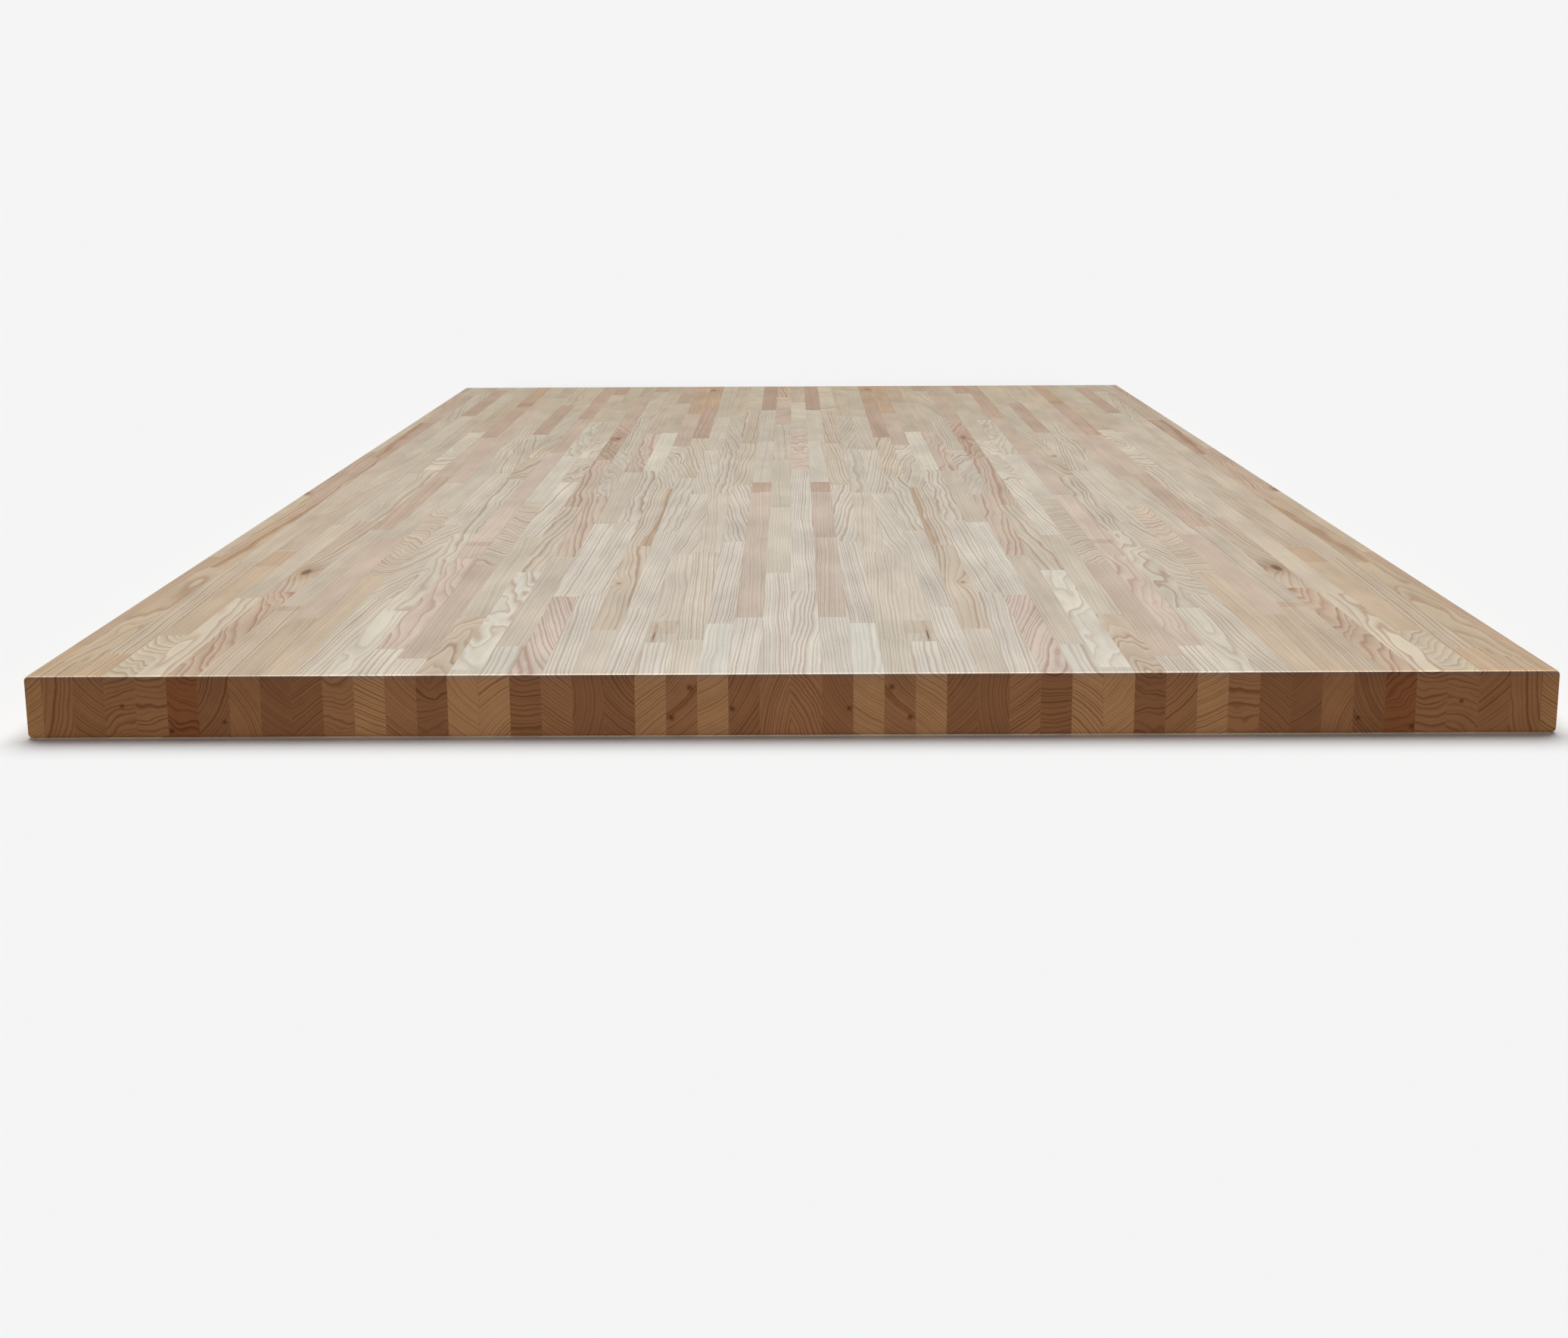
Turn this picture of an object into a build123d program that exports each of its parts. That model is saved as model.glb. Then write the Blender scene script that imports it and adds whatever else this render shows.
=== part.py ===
from build123d import *
import math
import os

# Edge-grain butcher block table top, made the way the real one is made. Hardwood staves stand on edge and
# are finger-jointed end to end into rails. The rails are glued side by side into a panel, the panel is
# trimmed to size and every outside edge is rounded over. Millimetres. The origin is the middle of the
# underside, +Z is up, +Y runs along the grain from the near end to the far end.

# Finished size of the top
TOP_LENGTH = 1828.8  # along the grain, 72 in
TOP_WIDTH = 914.4  # across the rails, 36 in
TOP_THICKNESS = 38.1  # 1 1/2 in
EDGE_RADIUS = 3.0  # round-over on every outside edge

# Staves and the glue between rails
STAVE_WIDTH = 18.5  # one rail, as it shows on the top
STAVE_LENGTH = 333.4  # from one finger joint to the next, 13 1/8 in
GLUE_LINE = 0.1  # film between two rails

# Finger joints lie flat between two square shoulders, so each shows as one straight line on the top
FINGER_LENGTH = 12.0
FINGER_COUNT = 5  # fingers between the shoulders
FINGER_COVER = 1.0  # wood between the round-over and the first finger

# Length of the stave at the near end of each rail, from the middle rail outwards. Only the two middle
# rails differ: from there on the left and the right half of the panel are laid up alike.
OUTWARD = (172, 152, 100, 92, 205, 132, 260, 250, 82, 15, 180, 47)
OUTWARD += (76, 200, 247, 335, 177, 220, 272, 250, 120, 65, 42)
NEAR_STAVES = {"left": (340, *OUTWARD), "right": (267, *OUTWARD)}
EDGE_NEAR_STAVE = 91  # the same for the trimmed rail along each long edge
SIDES = {"left": -1, "right": 1}

# Values that follow from those
RAIL_PITCH = STAVE_WIDTH + GLUE_LINE
SHOULDER = EDGE_RADIUS + FINGER_COVER
FINGER_PITCH = (TOP_THICKNESS - 2.0 * SHOULDER) / FINGER_COUNT
LEAST_RAIL = 2.0 * EDGE_RADIUS  # a trimmed outer rail is never narrower
LEAST_END = EDGE_RADIUS + FINGER_LENGTH / 2.0  # a joint keeps clear of the rounded ends
RAILS_PER_SIDE = max(1, math.ceil((TOP_WIDTH / 2.0 - LEAST_RAIL) / RAIL_PITCH))
NEAR_END = -TOP_LENGTH / 2.0
FAR_END = TOP_LENGTH / 2.0


def rounded_panel():
    """The finished outline: a box of the full size with every edge rounded over."""
    box = Box(TOP_WIDTH, TOP_LENGTH, TOP_THICKNESS, align=(Align.CENTER, Align.CENTER, Align.MIN))
    return fillet(box.edges(), EDGE_RADIUS)


def on_edge(place):
    """Whether the rail at this place, counted outwards from the middle, is trimmed and rounded over."""
    return place == RAILS_PER_SIDE - 1


def rail_name(place, side):
    return f"{side}_edge_rail" if on_edge(place) else f"{side}_rail_{place + 1:02d}"


def rail_span(place, side):
    """Lowest and highest X of a rail."""
    inner = place * RAIL_PITCH + GLUE_LINE / 2.0
    outer = TOP_WIDTH / 2.0 if on_edge(place) else inner + STAVE_WIDTH
    return sorted((SIDES[side] * inner, SIDES[side] * outer))


def joints_of(near_stave):
    """Joint positions along Y for a rail that starts with a stave of this length at the near end."""
    spots = []
    distance = near_stave
    while distance < TOP_LENGTH - LEAST_END:
        if distance > LEAST_END:
            spots.append(NEAR_END + distance)
        distance += STAVE_LENGTH
    return spots


def joint_line(y):
    """One finger joint in the YZ plane, from the underside up to the top: a zigzag between shoulders."""
    points = [(y, 0.0), (y, SHOULDER)]
    for finger in range(FINGER_COUNT):
        foot = SHOULDER + finger * FINGER_PITCH
        points.append((y + FINGER_LENGTH / 2.0, foot + 0.25 * FINGER_PITCH))
        points.append((y - FINGER_LENGTH / 2.0, foot + 0.75 * FINGER_PITCH))
    points += [(y, TOP_THICKNESS - SHOULDER), (y, TOP_THICKNESS)]
    return points


def end_line(y):
    """Plain sawn end of a rail in the YZ plane, from the underside up to the top."""
    return [(y, 0.0), (y, TOP_THICKNESS)]


def make_rail(place, side, panel):
    """The staves of one rail, each a solid of its own, finger to finger with the next."""
    x_low, x_high = rail_span(place, side)
    inner_rails = NEAR_STAVES[side]
    joints = joints_of(EDGE_NEAR_STAVE if on_edge(place) else inner_rails[place % len(inner_rails)])
    cuts = [end_line(NEAR_END), *map(joint_line, joints), end_line(FAR_END)]
    staves = []
    for number, (near, far) in enumerate(zip(cuts, cuts[1:])):
        outline = Plane.YZ.offset(x_low) * Polyline(*near[::-1], *far, close=True)
        stave = extrude(make_face(outline), amount=x_high - x_low)
        at_end = number in (0, len(joints))
        if at_end or on_edge(place):
            stave = stave & panel
        staves.append(stave.solid())
    return staves


def make_glue_lines(panel):
    """One film between each pair of neighbouring rails, trimmed with the panel."""
    films = []
    for place in range(1 - RAILS_PER_SIDE, RAILS_PER_SIDE):
        film = Pos(place * RAIL_PITCH, 0, 0) * Box(
            GLUE_LINE, TOP_LENGTH, TOP_THICKNESS, align=(Align.CENTER, Align.CENTER, Align.MIN)
        )
        films.append((film & panel).solid())
    return films


def save(name, solids):
    """Write one node: its solids stay separate inside the file."""
    group = Compound(label=name, children=solids)
    export_step(group, f"parts/{name}.step")


os.makedirs("parts", exist_ok=True)
panel = rounded_panel()
for side in SIDES:
    for place in range(RAILS_PER_SIDE):
        save(rail_name(place, side), make_rail(place, side, panel))
save("edge_glue_lines", make_glue_lines(panel))
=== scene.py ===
# %% [markdown]
# # A butcher block table top
#
# The object is one thick slab, glued up from narrow rails of ash. A rail is a row of short staves, joined
# end to end with finger joints, and fifty rails lie side by side with a hair of glue between them. The
# solids are ready made, so this lesson only dresses them: every rail gets a finer surface, with rounded
# edges that catch the light, and all staves share one wood, which is grown around a different trunk for
# each of them.

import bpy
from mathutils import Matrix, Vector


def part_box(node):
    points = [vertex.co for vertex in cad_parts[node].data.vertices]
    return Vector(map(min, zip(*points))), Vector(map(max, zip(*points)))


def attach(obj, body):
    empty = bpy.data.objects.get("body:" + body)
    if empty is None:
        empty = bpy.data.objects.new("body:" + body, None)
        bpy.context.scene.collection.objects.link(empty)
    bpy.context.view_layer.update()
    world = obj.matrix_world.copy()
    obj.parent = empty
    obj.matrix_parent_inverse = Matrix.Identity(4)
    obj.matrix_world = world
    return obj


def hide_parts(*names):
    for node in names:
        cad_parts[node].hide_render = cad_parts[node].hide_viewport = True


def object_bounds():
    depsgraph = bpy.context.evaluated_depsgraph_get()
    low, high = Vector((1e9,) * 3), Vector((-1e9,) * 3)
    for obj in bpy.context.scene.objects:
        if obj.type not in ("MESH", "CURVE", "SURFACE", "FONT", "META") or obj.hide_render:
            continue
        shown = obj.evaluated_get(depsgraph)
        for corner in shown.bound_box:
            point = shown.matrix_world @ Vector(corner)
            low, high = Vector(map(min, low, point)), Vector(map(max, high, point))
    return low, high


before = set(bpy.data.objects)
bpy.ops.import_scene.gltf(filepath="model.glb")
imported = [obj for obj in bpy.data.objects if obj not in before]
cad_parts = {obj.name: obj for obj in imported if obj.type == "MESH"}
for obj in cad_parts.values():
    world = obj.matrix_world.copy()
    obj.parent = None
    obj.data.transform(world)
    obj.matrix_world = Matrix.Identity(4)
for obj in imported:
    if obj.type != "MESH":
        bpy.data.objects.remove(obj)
cad_box = [list(corner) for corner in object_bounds()]

import math
from collections import namedtuple

import bpy
import numpy as np
from mathutils import Matrix

MM = 0.001  # the scene is in metres, a joiner thinks in millimetres
TINY = 0.01 * MM  # smaller than anything on the slab
low, high = np.array(cad_box)
HALF_WIDTH = high[0]
HALF_LENGTH = high[1]
THICKNESS = high[2]
print("slab in mm:", np.round((high - low) / MM, 1))

# %% [markdown]
# ## Reading the rails from the frame
#
# A rail is one lane of the slab, from the near end to the far end. Its staves could be measured by hand
# and typed in, but the frame knows them already. The box of a rail says where it lies across the slab, and
# the corners of its flat top say where one stave ends and the next begins, because a finger joint shows
# there as one straight line. The rails are counted outwards from the middle, as both halves are laid up
# alike.

# %% Find the staves of every rail
Rail = namedtuple("Rail", "name side place x_low x_high cuts")
rail_names = sorted(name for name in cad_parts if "rail" in name)
RAILS_PER_SIDE = len(rail_names) // 2


def top_corners(node):
    """Y of each corner on the flat top of a rail, from near to far, to a tenth of a millimetre."""
    points = np.empty(3 * len(node.data.vertices), np.float32)
    node.data.vertices.foreach_get("co", points)
    points = points.reshape(-1, 3)
    on_top = points[:, 2] > THICKNESS - TINY
    return np.unique(np.round(points[on_top, 1] / MM, 1)) * MM


def read_rail(name):
    """Side, place and cuts of one rail. Its cuts are the ends of the slab, with the joints between them."""
    side, _, number = name.partition("_rail")
    side = side.removesuffix("_edge")
    place = int(number.strip("_")) if number else RAILS_PER_SIDE
    corner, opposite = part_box(name)
    joints = top_corners(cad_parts[name])[1:-1]
    cuts = np.array([-HALF_LENGTH, *joints, HALF_LENGTH])
    return Rail(name, side, place, corner.x, opposite.x, cuts)


rails = [read_rail(name) for name in rail_names]
stave_total = sum(len(rail.cuts) - 1 for rail in rails)
print(len(rails), "rails with", stave_total, "staves")

# %% [markdown]
# ## The outline of a stave
#
# Seen from the side, a stave is an outline in the YZ plane. It ends in a row of fingers where it meets the
# next stave, and in two quarter circles around a flat sawn end where it meets the end of the slab. A box
# with a bevel modifier would be quicker, but the bevel would round the finger joints too, so fingers and
# arcs are worked out here as arrays of points.

# %% Outline of a stave
ROUND_OVER = 3.0 * MM
ARC_STEPS = 8
QUARTER = np.linspace(0.0, math.pi / 2.0, ARC_STEPS + 1)  # angles of a quarter circle
SHOULDER = 4.0 * MM  # square part of a finger joint, above and below the fingers
FINGER_COUNT = 5
FINGER_LENGTH = 12.0 * MM


def slab_end(y, outward, inset):
    """A sawn end from the underside to the top: a quarter circle, the flat end and a second quarter circle.

    The arcs have the radius r = ROUND_OVER - inset, about centres at y = c, which lies ROUND_OVER inside the
    slab. For the angle t from 0 to 90 degrees, the lower arc is y = c + outward r sin t and
    z = ROUND_OVER - r cos t, and the upper arc is y = c + outward r cos t and
    z = THICKNESS - ROUND_OVER + r sin t.
    """
    radius = ROUND_OVER - inset
    centre = y - outward * ROUND_OVER
    top_centre = THICKNESS - ROUND_OVER
    lower = np.stack([centre + outward * radius * np.sin(QUARTER), ROUND_OVER - radius * np.cos(QUARTER)], 1)
    upper = np.stack([centre + outward * radius * np.cos(QUARTER), top_centre + radius * np.sin(QUARTER)], 1)
    return np.concatenate([lower, upper])


def finger_joint(y, inset):
    """A joint from the underside to the top: a zigzag between square shoulders.

    The fingers share the height between the shoulders, and reach half their length to each side of y in turn.
    """
    pitch = (THICKNESS - 2.0 * SHOULDER) / FINGER_COUNT
    tips = SHOULDER + pitch * (np.arange(2 * FINGER_COUNT) + 0.5) / 2.0
    reach = np.tile([FINGER_LENGTH / 2.0, -FINGER_LENGTH / 2.0], FINGER_COUNT)
    heights = np.concatenate([[inset, SHOULDER], tips, [THICKNESS - SHOULDER, THICKNESS - inset]])
    return np.stack([y + np.concatenate([[0, 0], reach, [0, 0]]), heights], 1)


def stave_outline(cuts, number, inset):
    """Closed outline of one stave in YZ, up the far end first, and which of its edges lie on an arc."""
    ends = []
    for index, outward in ((number + 1, 1), (number, -1)):
        at_slab_end = index in (0, len(cuts) - 1)
        end = slab_end(cuts[index], outward, inset) if at_slab_end else finger_joint(cuts[index], inset)
        is_arc = np.zeros(len(end), bool)
        if at_slab_end:
            is_arc[:ARC_STEPS] = True
            is_arc[ARC_STEPS + 1:-1] = True
        ends.append((end, is_arc))
    (far, far_arc), (near, near_arc) = ends
    near_arc = np.concatenate([near_arc[-2::-1], [False]])
    return np.concatenate([far, near[::-1]]), np.concatenate([far_arc, near_arc])


outline, arcs = stave_outline(rails[0].cuts, 0, 0.0)
print("the first stave has", len(outline), "outline points,", arcs.sum(), "of its edges lie on arcs")

# %% [markdown]
# ## From the outline to a surface
#
# Carried across the width of its rail, the outline makes the whole stave. Two stations are enough for an
# inner rail. A rail along the edge of the slab is carried through more of them, and there the outline
# shrinks by the amount that the round-over takes away, which also turns the four corners of the slab into
# eighths of a ball. Blender could average the normals of neighbouring faces, but that would bend the light
# on the flats beside an arc. The true direction of the round-over follows from the box of the slab, so
# that is used.

# %% Surface of a stave
def rail_stations(rail):
    """X of each station, how much the outline shrinks there, and which steps lie on the round-over.

    Over the round-over, x = edge + R (1 - cos a) and the inset is R (1 - sin a), for a from 0 to 90 degrees.
    """
    if rail.place < RAILS_PER_SIDE:
        return np.array([rail.x_low, rail.x_high]), np.zeros(2), np.zeros(1, bool)
    shift = ROUND_OVER * (1.0 - np.cos(QUARTER))
    inset = np.append(ROUND_OVER * (1.0 - np.sin(QUARTER)), 0.0)
    rounded = np.append(np.ones(ARC_STEPS, bool), False)
    if rail.side == "left":
        return np.append(rail.x_low + shift, rail.x_high), inset, rounded
    return np.insert((rail.x_high - shift)[::-1], 0, rail.x_low), inset[::-1], rounded[::-1]


def stave_surface(rail, number, start):
    """Points, faces and smooth flags of one closed stave, with its points counted from start.

    Its outline stands at each station. Quads join one station to the next, and the first and the last one are
    capped.
    """
    xs, insets, rounded = rail_stations(rail)
    loops = []
    for x, inset in zip(xs, insets):
        outline, arcs = stave_outline(rail.cuts, number, inset)
        loops.append(np.column_stack([np.full(len(outline), x), outline]))
    count = len(outline)
    here = np.arange(count)
    after = (here + 1) % count
    steps = start + count * np.arange(len(xs) - 1)[:, None]
    quads = np.stack([steps + here, steps + after, steps + count + after, steps + count + here], 2)
    last = start + count * (len(xs) - 1)
    faces = [*quads.reshape(-1, 4).tolist(), (start + here[::-1]).tolist(), (last + here).tolist()]
    smooth = np.append((rounded[:, None] | arcs).ravel(), [False, False])
    return np.concatenate(loops), faces, smooth


def rounded_normals(points):
    """Outward normals of the rounded slab: each points away from the slab without its ROUND_OVER."""
    away = points - np.clip(points, low + ROUND_OVER, high - ROUND_OVER)
    return away / np.maximum(np.linalg.norm(away, axis=1, keepdims=True), TINY)


points, faces, smooth = stave_surface(rails[0], 0, 0)
print("the first stave has", len(points), "points and", len(faces), "faces")

# %% [markdown]
# ## Which board each stave was sawn from
#
# What makes a butcher block lively is that its staves come from many boards. A stave sawn beside the heart
# of the trunk shows even lines, one sawn far above it shows arches, and the same rings show as arcs at the
# sawn end. So each stave gets a trunk of its own: where its heart lies, how far apart its rings are and
# how the trunk leans. Chance alone could pick that, but a real slab has pale and dark places of its own.
# So the staves are sorted into a few figures and a few colours, and the lay-up below writes each stave as
# two letters, figure and colour, from the near end to the far end.

# %% Figures and colours
# spacing of the rings in mm, their lowest and highest slope in degrees, reach to the heart in mm,
# drift and climb of the heart for each mm along the stave, sway and swell of the rings in mm,
# strength and width of the spring lines, and shade of the rest of the year
Figure = namedtuple("Figure", "spacing slope_low slope_high reach drift climb sway swell lines width shade")
FIGURES = {
    "l": Figure(2.0, 62, 86, 80, 0.018, 0.006, 2.2, 2.0, 1.00, 0.46, 0.15),  # even lines
    "n": Figure(1.6, 55, 85, 80, 0.012, 0.006, 1.6, 1.5, 0.65, 0.48, 0.10),  # narrow faint lines
    "b": Figure(3.6, 45, 70, 70, 0.024, 0.020, 4.5, 7.0, 1.00, 0.34, 0.45),  # broad wandering lines
    "d": Figure(2.7, 52, 75, 80, 0.075, 0.010, 4.0, 4.0, 1.00, 0.42, 0.25),  # lines that cross at a slant
    "s": Figure(2.9, 52, 75, 80, 0.140, 0.010, 4.0, 4.0, 1.10, 0.42, 0.25),  # lines at a steeper slant
    "c": Figure(3.6, 8, 25, 65, 0.020, 0.030, 4.0, 10.0, 0.85, 0.28, 0.50),  # long closed loops
    "a": Figure(3.0, 4, 16, 95, 0.030, 0.230, 4.5, 9.0, 0.85, 0.28, 0.65),  # arches across the stave
    "w": Figure(4.4, 12, 40, 75, 0.050, 0.120, 6.0, 15.0, 0.90, 0.28, 0.70),  # wild, in flames
    "p": Figure(1.9, 35, 80, 80, 0.014, 0.008, 2.4, 3.0, 0.50, 0.48, 0.10),  # plain
    "h": Figure(3.0, 55, 75, 80, 0.024, 0.008, 4.5, 5.0, 1.05, 0.38, 0.30),  # with a stripe of heartwood
}
COLOURS = {  # as they look in daylight, 0 to 255
    "w": (200, 190, 173),  # white sapwood
    "c": (193, 181, 164),  # cream
    "h": (189, 174, 155),  # honey
    "t": (188, 170, 148),  # tan
    "r": (193, 174, 157),  # rosy
    "m": (182, 163, 145),  # mauve brown
    "g": (190, 176, 156),  # grey green
    "b": (184, 164, 145),  # brown
    "o": (185, 159, 134),  # orange brown
    "d": (178, 154, 135),  # dark heart
}
MIDDLE = {"left": "lc pg pg lc wr bt", "right": "dc lc lw wr aw ph"}  # the two rails in the middle
OUTWARD = (  # the rails of both halves, from the second one outwards
    "lc nm nm pc nc pd",
    "pw lc dc bg bh aw pt",
    "ng lg ph bc dc pg pg",
    "lc ph dc dc lc nc pc",
    "lc lc bc dg ld po",
    "ph bt hh wc pm po po",
    "lc lc bc pw nh pb",
    "sr lw nh wr lh pg",
    "lw nh bb wc bc dc pm",
    "pc cw bh bb wd pb dh",
    "wt pg dw wc pg pg",
    "lc nm ah nw cw pg pd",
    "lw cr pr pr pb pd pm",
    "cw cc bc wg dc pg",
    "lc wc lw dc pd pg",
    "nt ah nc bc pg ng",
    "nt nr dc nr pr ph",
    "lh lc lb nr pd po",
    "wb bh bc aw pt ph",
    "bw nc pc lc nh pc",
    "aw pt ph dc pc pd pc",
    "lt lc lc lc lc dc pt",
    "bh cg ht bb hd pb dc",
    "lt pb pg bb pg dt db",
)
LAY_UP = {side: (MIDDLE[side], *OUTWARD) for side in MIDDLE}
for rail in rails:
    assert len(LAY_UP[rail.side][rail.place - 1].split()) == len(rail.cuts) - 1, rail.name
print(len(FIGURES), "figures and", len(COLOURS), "colours for", stave_total, "staves")

# %% [markdown]
# ## Rings at the near end
#
# The near end of the slab is the face that is seen best. Its rings could be left to the figures, as on all
# other staves, but a real slab shows steep and flat arcs there, side by side in an order of its own. So their
# slope is set rail by rail: zero lies flat and positive rises to the right. The right half mirrors the left.
# The sawn ends soak up far more finish than the top does, and come out as a deep brown, in four shades.

# %% Slopes and shades at the sawn ends
MIRROR = {"left": 1, "right": -1}
MIDDLE_SLOPES = {"left": 75, "right": -60}
SLOPES = (58, 30, 42, 38, -48, 84, -38, -3, 40, -45, 5, -45)
SLOPES += (-25, 2, 38, -38, -62, 62, -25, 4, 25, -40, 82, 35)
END_SHADES = {
    "d": (127, 85, 53),  # dark
    "m": (140, 97, 62),  # middling
    "p": (157, 115, 75),  # pale
    "r": (127, 78, 45),  # reddish
}
END_ORDER = "mdpmpddmdppdmpmddmdrmmmmp"  # from the middle outwards
HIDDEN_SHADES = "mdpm"  # shades of all other staves, taken in turn


def near_slope(rail):
    """Slope of the rings on the near end of one rail, in degrees."""
    if rail.place == 1:
        return MIDDLE_SLOPES[rail.side]
    return SLOPES[rail.place - 2] * MIRROR[rail.side]


print("near end:", len(SLOPES) + 1, "slopes on each side,", near_slope(rails[0]), "degrees on", rails[0].name)

# %% [markdown]
# ## Painted sheen and shade on the top
#
# The light on the top is painted into its colour: a pale sheen in the middle of its near end, and
# painted shade that makes it warmer along its edges and deeper towards its far end. The sawn end is made
# darker towards its two sides. A gradient in the material would also run through the inside of a stave,
# which real boards don't show, so the painted light is worked out once for the middle of each stave and
# multiplied onto the colour of its board.

# %% Painted light on the slab
# painted light: a pale sheen painted on the middle of the near end, and painted shade towards the long edges
# and the far end
NEAR_PAINTED_SHEEN = np.array([1.00, 1.08, 1.165])  # red, green and blue in the middle of the near end
EDGE_PAINTED_SHADE = np.array([-0.13, -0.29, -0.49])  # change from there to the long edges
EDGE_FADE = 1.22  # how fast that change fades along the slab
FAR_PAINTED_SHADE = np.array([-0.30, -0.41, -0.57])  # change from there to the far end
FAR_CURVE = 0.66  # share of that change that gathers towards the far end
END_TONE = np.array([0.64, 0.645, 0.71])  # in the middle of the sawn end
END_EDGE_TONE = np.array([-0.12, -0.135, -0.20])  # change from there to its two sides


def linear(colour):
    """Light of a screen colour: the sRGB curve undone, as a plain array."""
    share = np.asarray(colour, float) / 255.0
    return np.where(share <= 0.04045, share / 12.92, ((share + 0.055) / 1.055) ** 2.4)


def painted_light(x, y):
    """Painted sheen and painted shade on the top at a place.

    With u the distance from the middle line and v the distance from the near end, both from 0 to 1, it is
    near + edge u u (1 - fade v) + far ((1 - curve) v + curve v v).
    """
    u = abs(x) / HALF_WIDTH
    v = (y + HALF_LENGTH) / (2.0 * HALF_LENGTH)
    edge = EDGE_PAINTED_SHADE * u * u * (1.0 - EDGE_FADE * v)
    return NEAR_PAINTED_SHEEN + edge + FAR_PAINTED_SHADE * ((1.0 - FAR_CURVE) * v + FAR_CURVE * v * v)


def end_tone(x):
    """Tone of the sawn end: the middle plus the change to the sides times u u."""
    return END_TONE + END_EDGE_TONE * (x / HALF_WIDTH) ** 2


print("tone near:", painted_light(0.0, -HALF_LENGTH).round(2), "and far:", painted_light(0.0, HALF_LENGTH).round(2))

# %% [markdown]
# ## Knots, pins and stained bands
#
# Some staves carry a mark: a knot where a branch left the trunk, a pin, which is a twig cut across at the
# sawn end, or a band where the board was stained. Marks could be painted on afterwards, but rings flow
# around a knot, so the material has to know where it lies. Each mark is therefore a place and a size that
# its stave carries along. A mark belongs to a rail, counted outwards from the middle, and to a stave,
# counted from zero at the near end, and shows on both halves.

# %% Marks on single staves, in millimetres
FAR_AWAY = 1.0e5  # a place outside the slab, for staves without a mark
Knot = namedtuple("Knot", "across along radius stretch depth")
KNOTS = {  # across the stave, from the near end, radius, times longer than wide, darkness
    (20, 1): Knot(-1.5, 352.0, 4.3, 3.4, 0.90),
    (6, 5): Knot(-3.0, 1775.0, 5.0, 4.0, 0.50),
    (11, 4): Knot(1.0, 1205.0, 2.6, 5.0, 0.60),
    (15, 3): Knot(-6.0, 1030.0, 3.0, 2.0, 0.50),
    (5, 1): Knot(-4.5, 113.0, 0.7, 24.0, 0.90),
    (25, 3): Knot(-2.0, 775.0, 3.0, 3.0, 0.60),
    (7, 1): Knot(-4.0, 300.0, 1.6, 2.5, 0.60),
}
NO_KNOT = Knot(0.0, FAR_AWAY, 1.0, 1.0, 0.0)
PINS = {  # for a whole rail: across the stave, height, radius
    2: (-7.0, 17.0, 1.4),
    4: (5.0, 30.0, 1.6),
    19: (6.0, 10.0, 1.2),
    20: (-7.5, 4.5, 1.5),
    22: (1.0, 20.0, 1.2),
}
LOWER_PINS = {4: (-6.0, 11.5, 1.5)}
NO_PIN = (0.0, FAR_AWAY, 1.0)
BANDS = {  # from the near end, half length, strength
    (2, 2): (804.0, 36.0, 0.9),
    (14, 2): (480.0, 11.0, 0.7),
    (22, 1): (415.0, 36.0, 0.6),
    (19, 5): (1592.0, 16.0, 0.7),
    (19, 0): (210.0, 8.0, 0.5),
    (5, 1): (140.0, 22.0, 0.5),
}
NO_BAND = (FAR_AWAY, 1.0, 0.0)
print(len(KNOTS), "knots,", len(PINS) + len(LOWER_PINS), "pins and", len(BANDS), "bands on each half")


# %% Marks of one stave
def stave_middle(rail, number):
    """Middle of a stave, in millimetres."""
    along = rail.cuts[number] + rail.cuts[number + 1]
    return np.array([rail.x_low + rail.x_high, along, THICKNESS]) / 2 / MM


def marks_of(rail, number):
    """Knot, pins and band of one stave, at their places in the slab."""
    x = stave_middle(rail, number)[0]
    mirror = MIRROR[rail.side]
    near = -HALF_LENGTH / MM
    knot = KNOTS.get((rail.place, number), NO_KNOT)
    band_along, band_half, band_depth = BANDS.get((rail.place, number), NO_BAND)
    marks = {
        "knot": (x + mirror * knot.across, near + knot.along, knot.depth),
        "knot_size": (knot.radius, knot.radius * knot.stretch, 0.0),
        "band": (near + band_along, band_half, band_depth),
    }
    for key, table in (("pin", PINS), ("lower_pin", LOWER_PINS)):
        across, height, radius = table.get(rail.place, NO_PIN)
        marks[key] = (x + mirror * across, height, radius)
    return marks


print("each stave carries", ", ".join(marks_of(rails[0], 0)))

# %% [markdown]
# ## A trunk for every stave
#
# All that the wood of a stave depends on fits in a few vectors: the heart of its trunk, its lean, the bend
# of its rings, its colours and its marks. One seeded set of dice picks each value within the range of its
# figure, so the slab comes out the same every time. The draws are shared by both halves, and mirrored on
# the right, as the lay-up is. Only the seed of the noise is drawn anew, so no two staves are quite alike.

# %% Dice and spreads
DICE_SEED = 72
DRAWS_PER_STAVE = 12
NOISE_RANGE = 50.0  # how far apart the noise of two staves can lie, in cells
FLAT_SLOPE = 8.0  # rings flatter than this, in degrees, belong to a heart just above the stave
NEAR_HEART = 30.0  # how far above, in millimetres
SPACING_SPREAD = (0.85, 1.15)  # the lowest and the highest share of what the figure says
REACH_SPREAD = (0.7, 1.5)
DRIFT_SPREAD = (0.6, 1.4)
CLIMB_SPREAD = (0.7, 1.3)
COLOUR_SPREAD = (0.96, 1.04)
END_SPREAD = (0.95, 1.05)
STRIPE_SHIFT = (-1.5, 1.5)  # millimetres from the middle of the stave
STRIPE_WIDTH = 4.5  # half the width of a stripe of heartwood, in millimetres
END_STRIPES = {(4, 0): -1.0}  # a depth below zero shows at the sawn end only
END_STRIPE_WIDTH = 2.5
dice = np.random.default_rng(DICE_SEED)


def between(limits, draw):
    """A value between two limits, for a draw from 0 to 1."""
    return limits[0] + draw * (limits[1] - limits[0])


print("half a draw gives", between(REACH_SPREAD, 0.5), "of the reach")


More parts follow.
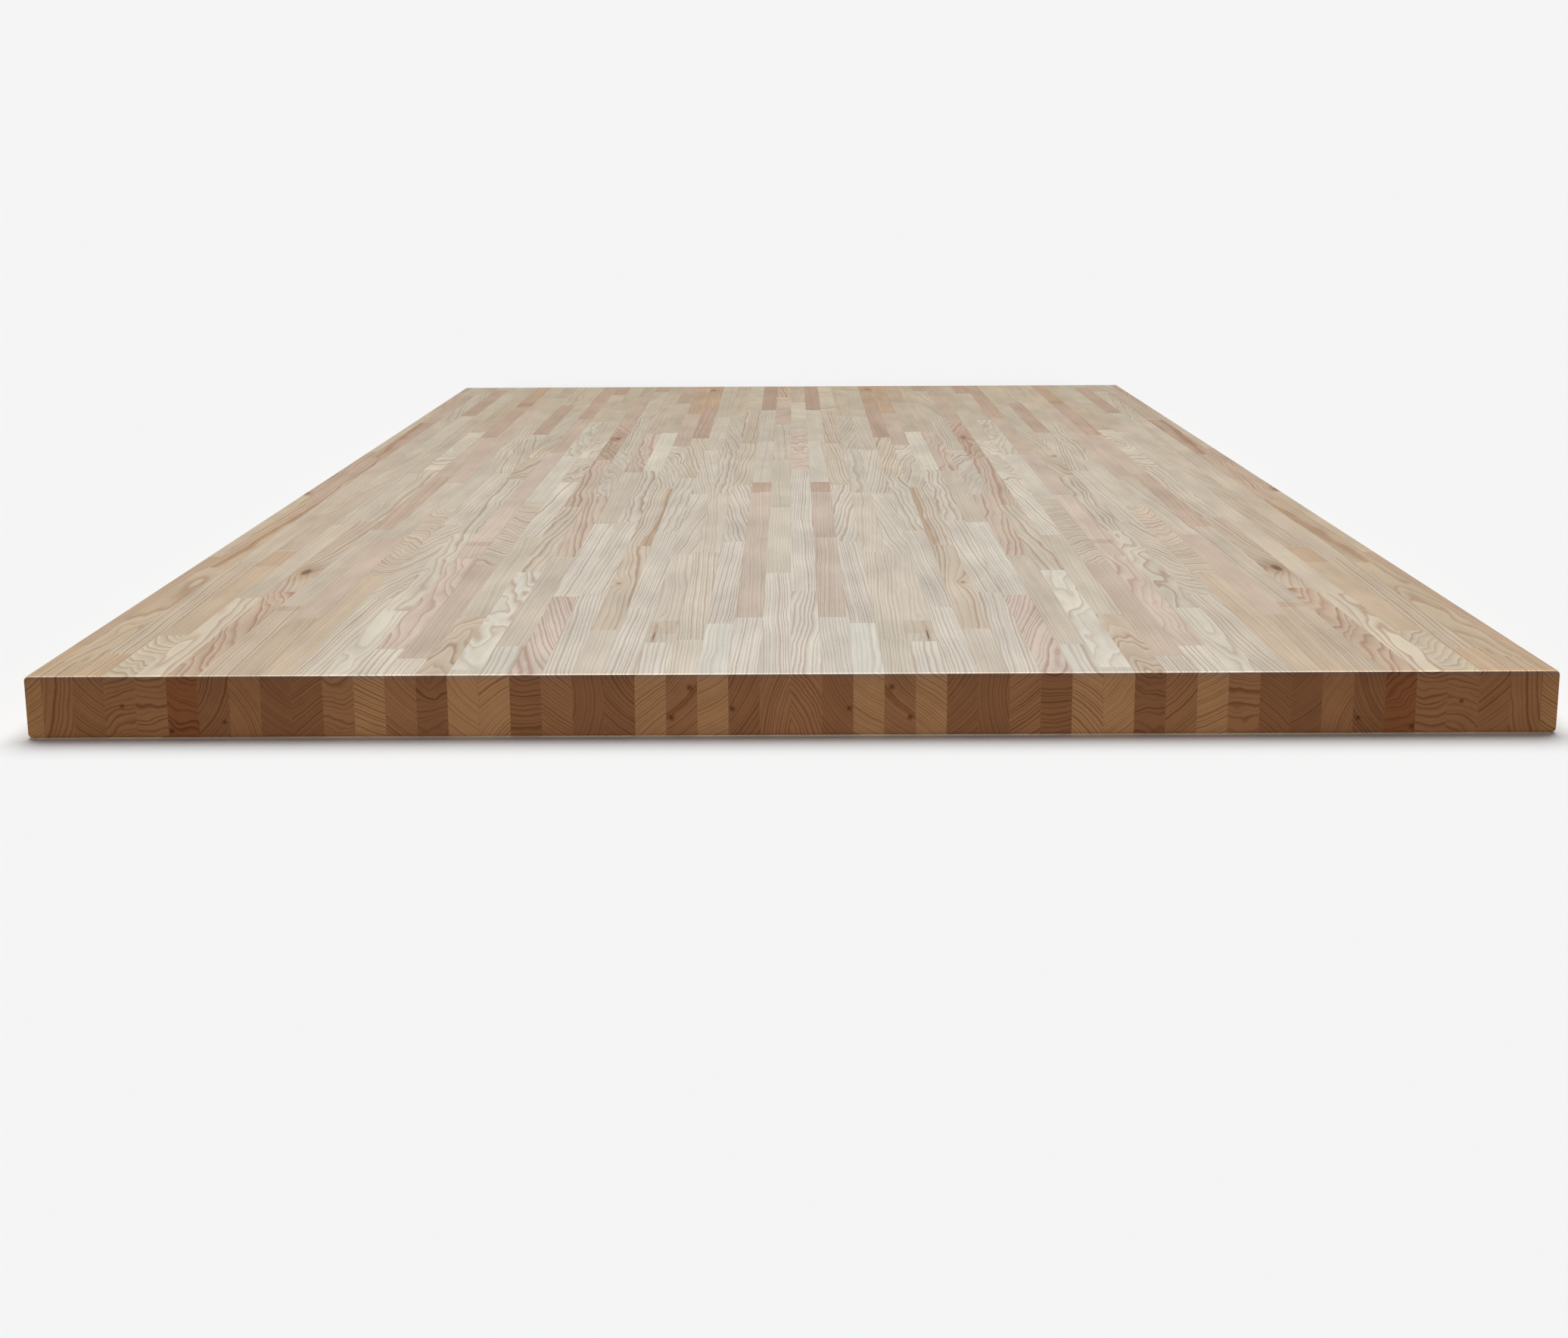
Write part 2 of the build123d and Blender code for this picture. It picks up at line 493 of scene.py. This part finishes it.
# %% Grow a trunk for every stave
def grow_stave(rail, number, draw):
    """Vectors that describe the trunk of one stave, in millimetres.

    With the slope s of its rings and the distance D to the heart, the heart lies at the middle of the stave
    plus D (-sin s, cos s), or minus it. A stave at the near end measures from the middle of its sawn end.
    """
    figure_letter, colour_letter = LAY_UP[rail.side][rail.place - 1].split()[number]
    figure = FIGURES[figure_letter]
    mirror = MIRROR[rail.side]
    sign = np.where(draw[:4] < 0.5, -1, 1)
    slope = between((figure.slope_low, figure.slope_high), draw[4]) * sign[0] * mirror
    spacing = figure.spacing * between(SPACING_SPREAD, draw[5])
    distance = figure.reach * between(REACH_SPREAD, draw[6])
    middle = stave_middle(rail, number)
    anchor = middle.copy()
    end_letter = HIDDEN_SHADES[number % len(HIDDEN_SHADES)]
    if number == 0:
        slope = near_slope(rail)
        anchor[1] = -HALF_LENGTH / MM
        end_letter = END_ORDER[rail.place - 1]
    if abs(slope) < FLAT_SLOPE:
        distance = NEAR_HEART
        sign[1] = 1
    tilt = math.radians(slope)
    drift = figure.drift * sign[2] * mirror * between(DRIFT_SPREAD, draw[7])
    climb = figure.climb * sign[3] * between(CLIMB_SPREAD, draw[8])
    stripe_depth = 1.0 if figure_letter == "h" else END_STRIPES.get((rail.place, number), 0.0)
    stripe_width = STRIPE_WIDTH if stripe_depth > 0.0 else END_STRIPE_WIDTH
    # painted light: the colour of the board times the painted sheen and shade at the middle of the stave
    wood_colour_and_light = linear(COLOURS[colour_letter]) * painted_light(*middle[:2] * MM)
    end_colour = linear(END_SHADES[end_letter]) * end_tone(middle[0] * MM)
    return {
        "heart": anchor + sign[1] * distance * np.array([-math.sin(tilt), 0.0, math.cos(tilt)]),
        "lean": (drift, climb, spacing),
        "bend": (figure.sway, figure.swell, 0.0),
        "line": (figure.lines, figure.width, figure.shade),
        "stripe": (distance + between(STRIPE_SHIFT, draw[9]), stripe_width, stripe_depth),
        "wood_colour_and_light": wood_colour_and_light * between(COLOUR_SPREAD, draw[10]),
        "end_colour": end_colour * between(END_SPREAD, draw[11]),
        "seed": dice.uniform(0.0, NOISE_RANGE, 3),
        **marks_of(rail, number),
    }


LONGEST_RAIL = max(len(rail.cuts) for rail in rails)
draws = dice.uniform(size=(RAILS_PER_SIDE, LONGEST_RAIL, DRAWS_PER_STAVE))
trunks = {}
for rail in rails:
    drawn = draws[rail.place - 1]
    trunks[rail.name] = [grow_stave(rail, number, drawn[number]) for number in range(len(rail.cuts) - 1)]
first_trunk = trunks[rails[0].name][0]
print(len(first_trunk), "vectors for each stave, the first heart at", first_trunk["heart"].round(1))

# %% [markdown]
# ## Building the rails
#
# Every stave could be an object with a material of its own, but three hundred materials are hard to tune.
# So a rail is one mesh of closed staves, and the vectors of each trunk are stored on the points of its
# stave. A single material can then read them and grow different wood in every stave. The finished mesh
# takes the place of the plain solid of its rail.

# %% Make the rail pieces
def make_rail(rail, wood):
    """One piece for one rail: its staves one after the other, with the trunk vectors on their points."""
    all_points, all_faces, all_smooth, counts = [], [], [], []
    for number in range(len(rail.cuts) - 1):
        points, faces, smooth = stave_surface(rail, number, sum(counts))
        all_points.append(points)
        all_faces += faces
        all_smooth.append(smooth)
        counts.append(len(points))
    points = np.concatenate(all_points)
    smooth = np.concatenate(all_smooth)
    mesh = bpy.data.meshes.new(rail.name + "_staves")
    mesh.from_pydata(points.tolist(), [], all_faces)
    mesh.polygons.foreach_set("use_smooth", smooth)
    staves = trunks[rail.name]
    for key in staves[0]:
        values = np.repeat([stave[key] for stave in staves], counts, axis=0).astype(np.float32)
        mesh.attributes.new(key, "FLOAT_VECTOR", "POINT").data.foreach_set("vector", values.ravel())
    mesh.materials.append(wood)
    on_arc = np.repeat(smooth, [len(face) for face in all_faces])
    normals = np.where(on_arc[:, None], rounded_normals(points)[np.concatenate(all_faces)], 0.0)
    mesh.normals_split_custom_set(normals.tolist())
    piece = bpy.data.objects.new(mesh.name, mesh)
    bpy.context.scene.collection.objects.link(piece)
    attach(piece, "root")
    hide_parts(rail.name)
    return piece


wood = bpy.data.materials.new("ash_wood")
rail_pieces = [make_rail(rail, wood) for rail in rails]
print(len(rail_pieces), "rail pieces,", sum(len(piece.data.polygons) for piece in rail_pieces), "faces")

# %% [markdown]
# ## Writing shaders as sums
#
# A material is a graph of nodes, and a graph drawn by hand soon hides its own formula. The small class
# below wraps one socket. Adding or multiplying such sockets adds the Math nodes, so the formula of the
# wood can be read as a formula, and one method adds every other kind of node.

# %% A socket that can be used in sums
class Wire:
    """One output socket of a node tree. Sums and products of wires add Math nodes to that tree."""

    def __init__(self, tree, socket=None):
        self.tree = tree
        self.socket = socket

    def node(self, kind, settings=None, inputs=None, output=0):
        """Add a node of this kind: its settings first, then the value or the link of each named input."""
        node = self.tree.nodes.new(kind)
        for name, value in (settings or {}).items():
            setattr(node, name, value)
        for name, value in (inputs or {}).items():
            if isinstance(value, Wire):
                self.tree.links.new(value.socket, node.inputs[name])
            else:
                node.inputs[name].default_value = value
        return Wire(self.tree, node.outputs[output]) if node.outputs else node

    def math(self, operation, *values):
        """A Math node on these values."""
        return self.node("ShaderNodeMath", {"operation": operation}, dict(enumerate(values)))

    def __add__(self, other):
        return self.math("ADD", self, other)

    def __sub__(self, other):
        return self.math("SUBTRACT", self, other)

    def __rsub__(self, other):
        return self.math("SUBTRACT", other, self)

    def __mul__(self, other):
        return self.math("MULTIPLY", self, other)

    def __truediv__(self, other):
        return self.math("DIVIDE", self, other)

    def __rtruediv__(self, other):
        return self.math("DIVIDE", other, self)

    def __abs__(self):
        return self.math("ABSOLUTE", self)

    __radd__ = __add__
    __rmul__ = __mul__

    def ramp(self, start, stop):
        """0 before start, 1 after stop and an S-shaped climb between them. Start may lie above stop."""
        inputs = {"Value": self, "From Min": start, "From Max": stop}
        return self.node("ShaderNodeMapRange", {"interpolation_type": "SMOOTHSTEP"}, inputs)

    def parts(self):
        """The three values of a vector."""
        split = self.node("ShaderNodeSeparateXYZ", None, {"Vector": self})
        return [Wire(self.tree, socket) for socket in split.socket.node.outputs]

    def vector(self, operation, *values):
        """Vector Math on this vector and others."""
        return self.node("ShaderNodeVectorMath", {"operation": operation}, dict(enumerate((self, *values))))

    def scaled(self, value):
        """This vector or colour times one value."""
        return self.node("ShaderNodeVectorMath", {"operation": "SCALE"}, {0: self, "Scale": value})

    def mix(self, other, share):
        """This colour, faded towards another one."""
        inputs = {0: share, 6: self, 7: other}
        return self.node("ShaderNodeMix", {"data_type": "RGBA"}, inputs, 2)


print("a wire has", len([name for name in vars(Wire) if callable(getattr(Wire, name))]), "methods")


# %% Start and close a tree
def new_tree(material):
    """Empty node tree of a material or a world, as a wire to start from."""
    material.use_nodes = True
    material.node_tree.nodes.clear()
    return Wire(material.node_tree)


def position_in(tree):
    """Object coordinates in millimetres."""
    return tree.node("ShaderNodeTexCoord", output="Object").scaled(1.0 / MM)


def close_tree(tree, kind, inputs):
    """Add a shader of this kind with these inputs, and wire it to the surface."""
    shader = tree.node(kind, None, inputs)
    tree.node("ShaderNodeOutputMaterial", None, {"Surface": shader})


wood_tree = new_tree(wood)
print("empty tree for", wood.name)

# %% [markdown]
# ## Ash, grown ring by ring
#
# Ash is a ring-porous wood: each spring it lays down a band of wide pores, which takes up finish and shows
# as a brownish line, and each summer a broad pale band. Stretched noise would give lines, but no arches
# and no ends that fit them. So the material measures how far a point lies from the heart of its own trunk,
# lets noise bend that distance a little, and divides it by the ring spacing. The whole part of the result
# counts the ring and the rest says where in the year the point lies. Around a knot, the count is pushed
# aside. Because the field fills space, lines on the top, arches and the arcs at the sawn end all fit
# together.

# %% Distance from the heart, counted in rings
RIPPLE = 1.2  # span of the ripples in a ring, in millimetres
RAGGED_EDGE = 0.45  # span of its ragged edge
KNOT_RINGS = 4.0  # how many rings a knot pushes aside
KNOT_REACH = 0.10  # the smaller, the further out it does so
YEAR_RHYTHM = 0.37  # how fast good and bad years follow each other
YEAR_SPREAD = 1.6  # how many rings they move
position = position_in(wood_tree)


def trunk(key):
    """One of the vectors stored on the staves."""
    return wood_tree.node("ShaderNodeAttribute", {"attribute_name": key}, output="Vector")


def noise(size_across, size_along, detail=2.0):
    """Noise around one half, in cells of the given size in millimetres, different in each stave."""
    sizes = (1.0 / size_across, 1.0 / size_along, 1.0 / size_across)
    place = position.vector("MULTIPLY_ADD", sizes, trunk("seed"))
    return wood_tree.node("ShaderNodeTexNoise", None, {"Vector": place, "Scale": 1.0, "Detail": detail})


def hypotenuse(a, b):
    """Long side of a right-angled triangle with the short sides a and b: the root of a a + b b."""
    return wood_tree.math("SQRT", a * a + b * b)


off_x, off_y, off_z = position.vector("SUBTRACT", trunk("heart")).parts()
drift, climb, spacing = trunk("lean").parts()
sway, swell, _ = trunk("bend").parts()
line_strength, line_width, shade = trunk("line").parts()
seed = trunk("seed").parts()[0]
bend_x = noise(48.0, 120.0, 1.5) - 0.5
bend_z = noise(25.0, 130.0) - 0.5
ripple = noise(7.0, 60.0) - 0.5
ragged = noise(0.9, 6.0) - 0.5
across = off_x - drift * off_y + 2.0 * sway * bend_x + RIPPLE * ripple + RAGGED_EDGE * ragged
upward = off_z - climb * off_y + 2.0 * swell * bend_z
distance = hypotenuse(across, upward)

x, y, z = position.parts()
knot_x, knot_y, knot_depth = trunk("knot").parts()
knot_radius, knot_length, _ = trunk("knot_size").parts()
knot_across = (x - knot_x + 2.0 * ripple) / knot_radius
knot_along = (y - knot_y) / knot_length
knot_gap = hypotenuse(knot_across, knot_along)
swirl = knot_depth / (1.0 + KNOT_REACH * knot_gap * knot_gap)
even_rings = distance / spacing - KNOT_RINGS * swirl
rhythm = {"W": even_rings * YEAR_RHYTHM + seed, "Scale": 1.0, "Detail": 1.0}
good_years = wood_tree.node("ShaderNodeTexNoise", {"noise_dimensions": "1D"}, rhythm)
rings = even_rings + YEAR_SPREAD * (good_years - 0.5)
ring_number = wood_tree.math("FLOOR", rings)
season = rings - ring_number
print("rings take", len(wood.node_tree.nodes), "nodes")

# %% [markdown]
# ## Lines, pores and fibres
#
# A spring band starts sharply, where the winter before it ends, and fades into summer wood. No two years are
# alike, so every ring draws a strength of its own. The pores inside the band are cut lengthwise on the top,
# where they show as fine dashes along the grain. Fibres and a slow drift of colour keep the pale wood from
# looking painted. A picture of wood could bring all that, but it would repeat from stave to stave. Noise with
# cells far longer along the grain than across it is different everywhere.

# %% Spring bands and pores
SPRING_START = 0.22  # part of the year in which a band reaches its full strength
YEAR_STEP = 13.7  # keeps the years of two staves apart
year_place = {"W": ring_number + YEAR_STEP * seed}
year = wood_tree.node("ShaderNodeTexWhiteNoise", {"noise_dimensions": "1D"}, year_place)
spring_on = season.ramp(0.0, SPRING_START)
spring = spring_on * season.ramp(line_width * (1.0 + 0.9 * year), line_width * 0.3)
pores = noise(0.45, 5.0).ramp(0.40, 0.64)
fibres = noise(0.8, 40.0, 3.0) - 0.5
cloud = noise(16.0, 75.0) - 0.5
speck = noise(0.4, 2.4) - 0.5
line = spring * (0.55 + 0.45 * year) * (0.65 + 0.35 * pores) * line_strength
summer = season.ramp(0.0, 0.25) * season.ramp(1.0, 0.25) * (0.4 + 0.6 * year) * shade
print("bands, pores and fibres bring them to", len(wood.node_tree.nodes))

# %% [markdown]
# ## Colour of the long grain
#
# The colour of the board comes with the stave, with the painted sheen and shade of its place in it. Lines,
# heartwood stripes, knots and stained bands could each be a material, mixed by masks. Here they are
# multiplied onto the colour one after the other, as thin coats of stain would be, so the board still shows
# through all of them.

# %% Colour along the grain
LINE_TINT = (0.66, 0.49, 0.45)  # what a spring band leaves of the red, green and blue
SUMMER_TINT = (0.74, 0.61, 0.53)  # the rest of the year, in wood cut nearly flat
STRIPE_TINT = (0.80, 0.69, 0.59)
BAND_TINT = (0.84, 0.74, 0.68)
HALO_TINT = (0.80, 0.70, 0.60)
KNOT_TINT = (0.30, 0.20, 0.15)


def stained(colour, tint, depth):
    """A colour times a tint, as deep as depth says."""
    return colour.mix(colour.vector("MULTIPLY", tint), depth)


board = trunk("wood_colour_and_light").scaled(1.16 + 0.26 * fibres + 0.36 * cloud + 0.14 * speck + 0.5 * bend_x)
stripe_at, stripe_width, stripe_depth = trunk("stripe").parts()
stripe_gap = abs(distance - stripe_at) / stripe_width
in_stripe = (stripe_gap + 1.5 * cloud).ramp(1.1, 0.3)
board = stained(board, STRIPE_TINT, in_stripe * wood_tree.math("MAXIMUM", stripe_depth, 0.0))
band_at, band_half, band_depth = trunk("band").parts()
band_gap = abs(y - band_at) / band_half
board = stained(board, BAND_TINT, (band_gap + 0.5 * cloud).ramp(1.08, 0.86) * band_depth)
board = stained(board, SUMMER_TINT, summer)
board = stained(board, LINE_TINT, line)
knot_edge = knot_gap + 0.8 * ragged + 1.5 * cloud
board = stained(board, HALO_TINT, knot_edge.ramp(3.6, 0.9) * knot_depth)
board = stained(board, KNOT_TINT, knot_edge.ramp(1.25, 0.5) * knot_depth)
print("the long grain brings them to", len(wood.node_tree.nodes))

# %% [markdown]
# ## Sawn ends
#
# Across the grain the same rings show as arcs, on a much deeper ground, with a few dark pins. A second
# material on the end faces would leave a hard edge, so the one material knows a sawn end by its normal,
# which points along the grain there. On the round-over the one finish runs into the other. Light is painted
# there too: a painted highlight along the edge of the top, and a painted reflection of the sky on the upper
# arc. The flat end is painted paler towards the underside, against the shade that falls there.

# %% Colour across the grain
SAWN = (0.44, 0.60)  # share of the normal along the grain: long grain below, sawn end above
END_LINE_TINT = (0.50, 0.39, 0.30)
PIN_TINT = (0.40, 0.32, 0.28)
ARC_SKY_REFLECTION_TINT = (0.85, 1.25, 2.6)  # painted reflection: the upper arc is painted pale and bluish, as a reflection of the sky
EDGE_HIGHLIGHT_TINT = (1.6, 1.5, 1.3)  # painted highlight along the edge of the top
_, normal_y, normal_z = wood_tree.node("ShaderNodeNewGeometry", output="Normal").parts()
facing = abs(normal_y)
end_share = facing.ramp(*SAWN)
# painted highlight: the long grain is painted brighter as the round-over turns towards the end, up to a pale
# line along the edge
painted_edge_highlight = board.vector("MULTIPLY", EDGE_HIGHLIGHT_TINT)
board = board.scaled(1.0 + 1.5 * facing).mix(painted_edge_highlight, facing.ramp(0.0, 0.2))
end_dots = noise(0.55, 40.0).ramp(0.45, 0.70)
# painted light: the flat end is painted paler towards the underside, against the shade that falls there
painted_light_below = 1.0 - z * (MM / THICKNESS)
end_wood = trunk("end_colour").scaled(1.05 + 0.30 * painted_light_below + 0.30 * cloud - 0.10 * end_dots)
end_spring = spring_on * season.ramp(0.35 + 0.45 * year, 0.12)
end_line = end_spring * (0.45 + 0.55 * year) * (0.45 + 0.55 * line_strength)
end_wood = stained(end_wood, END_LINE_TINT, end_line)
end_wood = stained(end_wood, STRIPE_TINT, in_stripe * abs(stripe_depth))
for key in ("pin", "lower_pin"):
    pin_x, pin_z, pin_radius = trunk(key).parts()
    pin_gap = hypotenuse((x - pin_x) / pin_radius, (z - pin_z) / pin_radius) + 0.9 * ragged
    end_wood = stained(end_wood, PIN_TINT, pin_gap.ramp(1.9, 0.0))
# painted reflection of the sky on the upper arc
end_wood = stained(end_wood, ARC_SKY_REFLECTION_TINT, normal_z.ramp(0.0, 1.0))
colour = board.mix(end_wood, end_share)
print("the sawn ends bring them to", len(wood.node_tree.nodes))

# %% [markdown]
# ## An oiled finish
#
# Oil leaves the wood nearly matt, and open pores break its surface. Carving the pores into the mesh would
# take millions of faces, so a bump bends the light as pores of a tenth of a millimetre would. The spring
# bands and the sawn ends are a little rougher than the rest.

# %% Finish of the wood
SHEEN = 0.05  # an oiled slab hardly shines
BUMP_STRENGTH = 0.12
BUMP_HEIGHT = 0.1 * MM
roughness = 0.60 + 0.10 * line + 0.10 * fibres + 0.08 * end_share
height = 1.0 - 0.6 * line - 0.4 * pores * line + 0.3 * fibres
relief = {"Strength": BUMP_STRENGTH, "Distance": BUMP_HEIGHT, "Height": height}
bump = wood_tree.node("ShaderNodeBump", None, relief)
finish = {"Base Color": colour, "Roughness": roughness, "Normal": bump, "Specular IOR Level": SHEEN}
close_tree(wood_tree, "ShaderNodeBsdfPrincipled", finish)
print("ash wood:", len(wood.node_tree.nodes), "nodes")

# %% [markdown]
# ## Glue between the rails
#
# The films of glue are a tenth of a millimetre thick, and only their edges show, as thin amber lines. They
# could be drawn onto the wood, but the frame has them as solids, so they stay as they are and get a
# finish. A slow noise keeps the lines from being equally strong everywhere, and at the sawn ends they are
# as brown as the wood.

# %% Glue
GLUE_PALE = (0.44, 0.30, 0.18, 1.0)
GLUE_AMBER = (0.30, 0.19, 0.10, 1.0)
GLUE_BROWN = (0.16, 0.075, 0.030, 1.0)  # at the sawn ends
GLUE_PATCHES = (0.2, 0.02, 0.2)  # patches for each millimetre across, along and upwards
glue = bpy.data.materials.new("wood_glue")
glue_tree = new_tree(glue)
glue_place = position_in(glue_tree).vector("MULTIPLY", GLUE_PATCHES)
patch = glue_tree.node("ShaderNodeTexNoise", None, {"Vector": glue_place, "Scale": 1.0, "Detail": 3.0})
film = glue_tree.node("ShaderNodeMix", {"data_type": "RGBA"}, {0: patch, 6: GLUE_PALE, 7: GLUE_AMBER}, 2)
glue_facing = abs(glue_tree.node("ShaderNodeNewGeometry", output="Normal").parts()[1])
film = film.mix(GLUE_BROWN, glue_facing.ramp(*SAWN))
finish = {"Base Color": film, "Roughness": 0.45 + 0.2 * patch, "Specular IOR Level": SHEEN}
close_tree(glue_tree, "ShaderNodeBsdfPrincipled", finish)
glue_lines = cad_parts["edge_glue_lines"]
glue_lines.data.materials.clear()
glue_lines.data.materials.append(glue)
print("glue on", glue_lines.name)

# %% [markdown]
# ## Floor
#
# The slab lies on an endless pale floor, as in a studio. A curved backdrop would do as well, but its bend
# shows from a low camera. So the floor is one large flat square with a plain, matt finish, a hair below
# the slab so that the two faces don't flicker.

# %% Floor
BACKDROP = 0.913  # light grey, 245 on a screen
FLOOR_SIZE = 80.0
FLOOR_DROP = 0.2 * MM
half = FLOOR_SIZE / 2.0
floor_mesh = bpy.data.meshes.new("floor")
floor_corners = np.array([(-half, -half), (half, -half), (half, half), (-half, half)])
floor_points = np.column_stack([floor_corners, np.full(4, -FLOOR_DROP)])
floor_mesh.from_pydata(floor_points.tolist(), [], [(0, 1, 2, 3)])
floor = bpy.data.objects.new("floor", floor_mesh)
bpy.context.scene.collection.objects.link(floor)
floor_finish = bpy.data.materials.new("pale_floor")
close_tree(new_tree(floor_finish), "ShaderNodeBsdfDiffuse", {"Color": (BACKDROP, BACKDROP, BACKDROP, 1.0)})
floor_mesh.materials.append(floor_finish)
print("floor", FLOOR_SIZE, "m wide")

# %% [markdown]
# ## Sky and suns
#
# Studio lamps near the slab would leave a bright patch on the floor. Suns and sky are even over the whole
# floor, so it renders as one flat tone: a wide soft sun from above and behind draws the short shadow in
# front of the slab, a low and narrow one from the front lights the sawn end evenly, and the sky only adds
# a little. Rays that reach the sky from the camera, or by way of a glossy surface, see the tone of the
# floor, so no horizon shows.

# %% Suns
KEY_ELEVATION = 61.0
KEY_SHARE = 0.897
KEY_WIDTH = 50.0  # degrees across, as seen from the floor
FILL_ELEVATION = 5.0
FILL_SHARE = 0.055
FILL_WIDTH = 4.0


def sun(name, tilt, share, elevation, width):
    """A sun that puts this share of full light on the floor. Tilt turns it about X from straight down."""
    lamp = bpy.data.lights.new(name, "SUN")
    lamp.energy = share * math.pi / math.sin(math.radians(elevation))
    lamp.angle = math.radians(width)
    lamp_object = bpy.data.objects.new(name, lamp)
    lamp_object.rotation_euler = (math.radians(tilt), 0.0, 0.0)
    bpy.context.scene.collection.objects.link(lamp_object)
    return lamp.energy


key_energy = sun("key_sun", KEY_ELEVATION - 90.0, KEY_SHARE, KEY_ELEVATION, KEY_WIDTH)
fill_energy = sun("fill_sun", 90.0 - FILL_ELEVATION, FILL_SHARE, FILL_ELEVATION, FILL_WIDTH)
print("suns:", round(key_energy, 2), round(fill_energy, 2))

# %% Sky
SKY = 0.045  # share of the light on the floor that comes from the sky
world = bpy.data.worlds.new("studio")
bpy.context.scene.world = world
sky_tree = new_tree(world)
ray = sky_tree.node("ShaderNodeLightPath").socket.node.outputs
seen = Wire(sky_tree.tree, ray["Is Camera Ray"])
for kind in ("Is Glossy Ray", "Is Transmission Ray"):
    seen = sky_tree.math("MAXIMUM", seen, Wire(sky_tree.tree, ray[kind]))
strength = SKY + (BACKDROP - SKY) * seen
sky = sky_tree.node("ShaderNodeBackground", None, {"Color": (1, 1, 1, 1), "Strength": strength})
sky_tree.node("ShaderNodeOutputWorld", None, {"Surface": sky})
print("sky strength", SKY, "and", BACKDROP, "where it is seen")

# %% [markdown]
# ## Camera
#
# The camera stands low before the near end and looks along the grain. It could be turned by eye until the
# view fits, but its place, its three turns and its focal length follow from the six corners of the slab in
# the picture: with the size of the slab known, one camera fits them all.

# %% Camera
EYE = (1.6 * MM, -2191.8 * MM, 327.2 * MM)
YAW = math.radians(-0.25)
PITCH = math.radians(12.622)
ROLL = math.radians(-0.284)
IMAGE_WIDTH = 2072  # pixels
FOCAL_PIXELS = 2914.2
camera_data = bpy.data.cameras.new("camera")
camera_data.sensor_fit = "HORIZONTAL"
camera_data.lens = camera_data.sensor_width * FOCAL_PIXELS / IMAGE_WIDTH
camera = bpy.data.objects.new("camera", camera_data)
heading = Matrix.Rotation(-YAW, 4, "Z")
look_down = Matrix.Rotation(math.pi / 2 - PITCH, 4, "X")
lean_over = Matrix.Rotation(ROLL, 4, "Z")
camera.location = EYE
camera.rotation_euler = (heading @ look_down @ lean_over).to_euler()
bpy.context.scene.collection.objects.link(camera)
bpy.context.scene.camera = camera
bpy.context.scene.view_settings.view_transform = "Standard"
print("focal length", round(camera_data.lens, 2), "mm")

# %% [markdown]
# ## Size and finish
#
# The dressed slab has to be as large as the solids under it.
